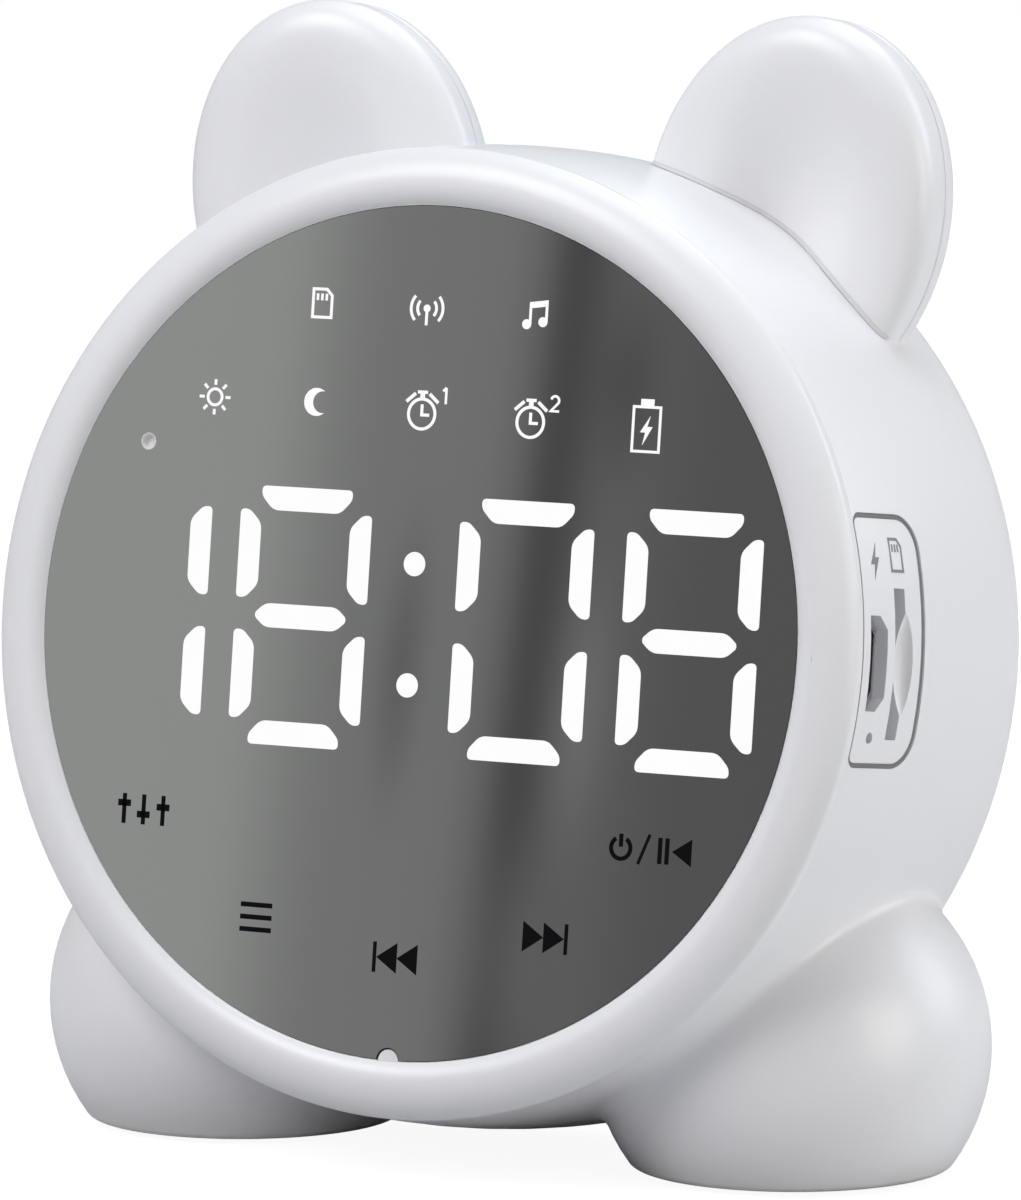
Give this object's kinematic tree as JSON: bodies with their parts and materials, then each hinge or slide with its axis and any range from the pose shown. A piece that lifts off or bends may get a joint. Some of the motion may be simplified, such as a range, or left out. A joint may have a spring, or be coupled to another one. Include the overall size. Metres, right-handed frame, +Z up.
{
  "type": "alarm clock",
  "caption": "Bear-shaped table clock with a round smoked mirror display, ball feet, side charging socket, card slot and rear speaker.",
  "frame": {"origin": "on the floor under the middle of the clock's outline", "axes": "+Z up, -Y out of the clock face, +X to the side with the ports (the right as seen from the front)"},
  "size_m": [0.092, 0.0498, 0.1025],
  "materials": {
    "white_shell": "satin",
    "mirror": "smoky polished",
    "black_foam": "matte",
    "black_film": "matte",
    "light_box": "matte",
    "diffuser": "milky",
    "led": "moulded",
    "spring_steel": "plain",
    "board_green": "solder mask",
    "board_white": "solder mask",
    "chip_black": "moulded",
    "plug_ivory": "moulded",
    "steel": "plain",
    "sole_rubber": "matte",
    "cell_foil": "satin foil",
    "magnet": "sintered",
    "cone": "pulp",
    "wire_red": "insulation",
    "wire_black": "insulation",
    "wire_grey": "insulation"
  },
  "bodies": {
    "body": {"front_bezel": "white_shell", "mirror_panel": "mirror", "mirror_tape": "black_foam", "display_mask": "black_film", "light_box": "light_box", "segment_diffusers": "diffuser", "display_leds": "led", "touch_springs": "spring_steel", "microphone": "steel", "main_board": "board_green", "board_screws": "steel", "board_chips": "chip_black", "board_connectors": "plug_ivory", "front_housing": "white_shell", "rear_housing": "white_shell", "housing_screws": "steel", "foot_pads": "sole_rubber", "port_board": "board_green", "port_header": "chip_black", "charging_socket": "steel", "charging_tongue": "chip_black", "card_socket": "steel", "reset_switch": "steel", "battery": "cell_foil", "battery_tape": "black_foam", "speaker_frame": "black_film", "speaker_magnet": "magnet", "speaker_yoke": "steel", "speaker_surround": "black_foam", "speaker_gasket": "black_foam", "speaker_screws": "steel", "ear_light_boards": "board_white", "ear_leds": "led", "battery_lead": "wire_red", "speaker_lead": "wire_black", "ear_light_leads": "wire_grey"},
    "cone": {"speaker_cone": "cone"},
    "slider": {"card_slider": "chip_black"},
    "plunger": {"reset_plunger": "light_box"}
  },
  "joints": [
    {"name": "cone_travel", "type": "slide", "parent": "body", "child": "cone", "axis": [0, 0.9917, -0.1288], "range_m": [-0.001, 0.001], "stiffness_N_per_m": 1000},
    {"name": "card_slide", "type": "slide", "parent": "body", "child": "slider", "axis": [-1, 0, 0], "range_m": [0, 0.0012], "stiffness_N_per_m": 400, "springref_m": -0.0005},
    {"name": "reset_press", "type": "slide", "parent": "body", "child": "plunger", "axis": [-1, 0, 0], "range_m": [0, 0.00025], "stiffness_N_per_m": 1500, "springref_m": -0.0001}
  ]
}
